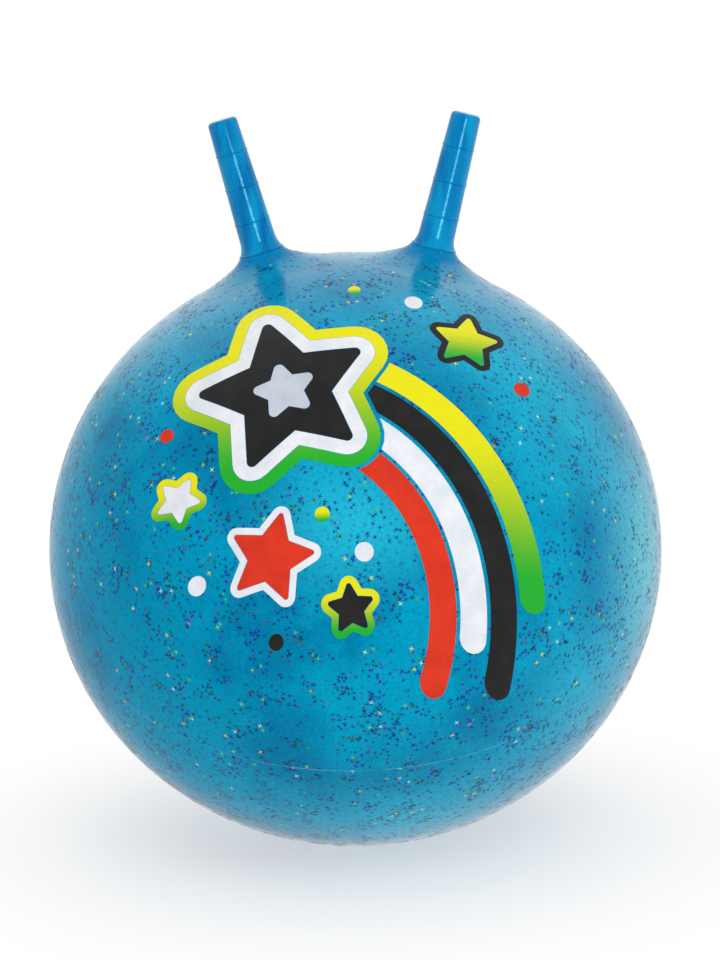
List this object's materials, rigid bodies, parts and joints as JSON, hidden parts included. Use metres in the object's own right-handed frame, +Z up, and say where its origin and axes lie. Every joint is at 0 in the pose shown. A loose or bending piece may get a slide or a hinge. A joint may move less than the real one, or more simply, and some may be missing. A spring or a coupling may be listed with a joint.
{
  "type": "hopper ball",
  "caption": "Inflated ball with two upright ringed grip horns, a stopper valve at the back and a printed shooting star, to sit on and bounce.",
  "frame": {"origin": "middle of the flattened patch under the ball that it rests on", "axes": "+Z up; the horns lean towards -X and +X; the print faces -Y and the valve +Y"},
  "size_m": [0.4998, 0.5001, 0.5956],
  "materials": {
    "skin_vinyl": "glossy translucent blue vinyl with star-shaped glitter flakes moulded in",
    "horn_vinyl": "glossy translucent deep blue vinyl, almost without flakes",
    "seat_vinyl": "soft blue vinyl, satin",
    "plug_plastic": "white soft plastic, satin",
    "ink_bright": "glossy ink that runs from yellow at the top to green",
    "ink_white": "glossy white ink",
    "ink_black": "glossy black ink",
    "ink_red": "glossy red ink",
    "ink_grey": "glossy pale grey ink"
  },
  "bodies": {
    "ball": {"ball_skin": "skin_vinyl", "left_horn": "horn_vinyl", "right_horn": "horn_vinyl", "valve_seat": "seat_vinyl", "print_bright": "ink_bright", "print_white": "ink_white", "print_black": "ink_black", "print_red": "ink_red", "print_grey": "ink_grey"},
    "stopper": {"valve_plug": "plug_plastic"}
  },
  "joints": [
    {"name": "stopper_pull", "type": "slide", "parent": "ball", "child": "stopper", "axis": [0, 1, 0], "range_m": [0, 0.025]}
  ]
}
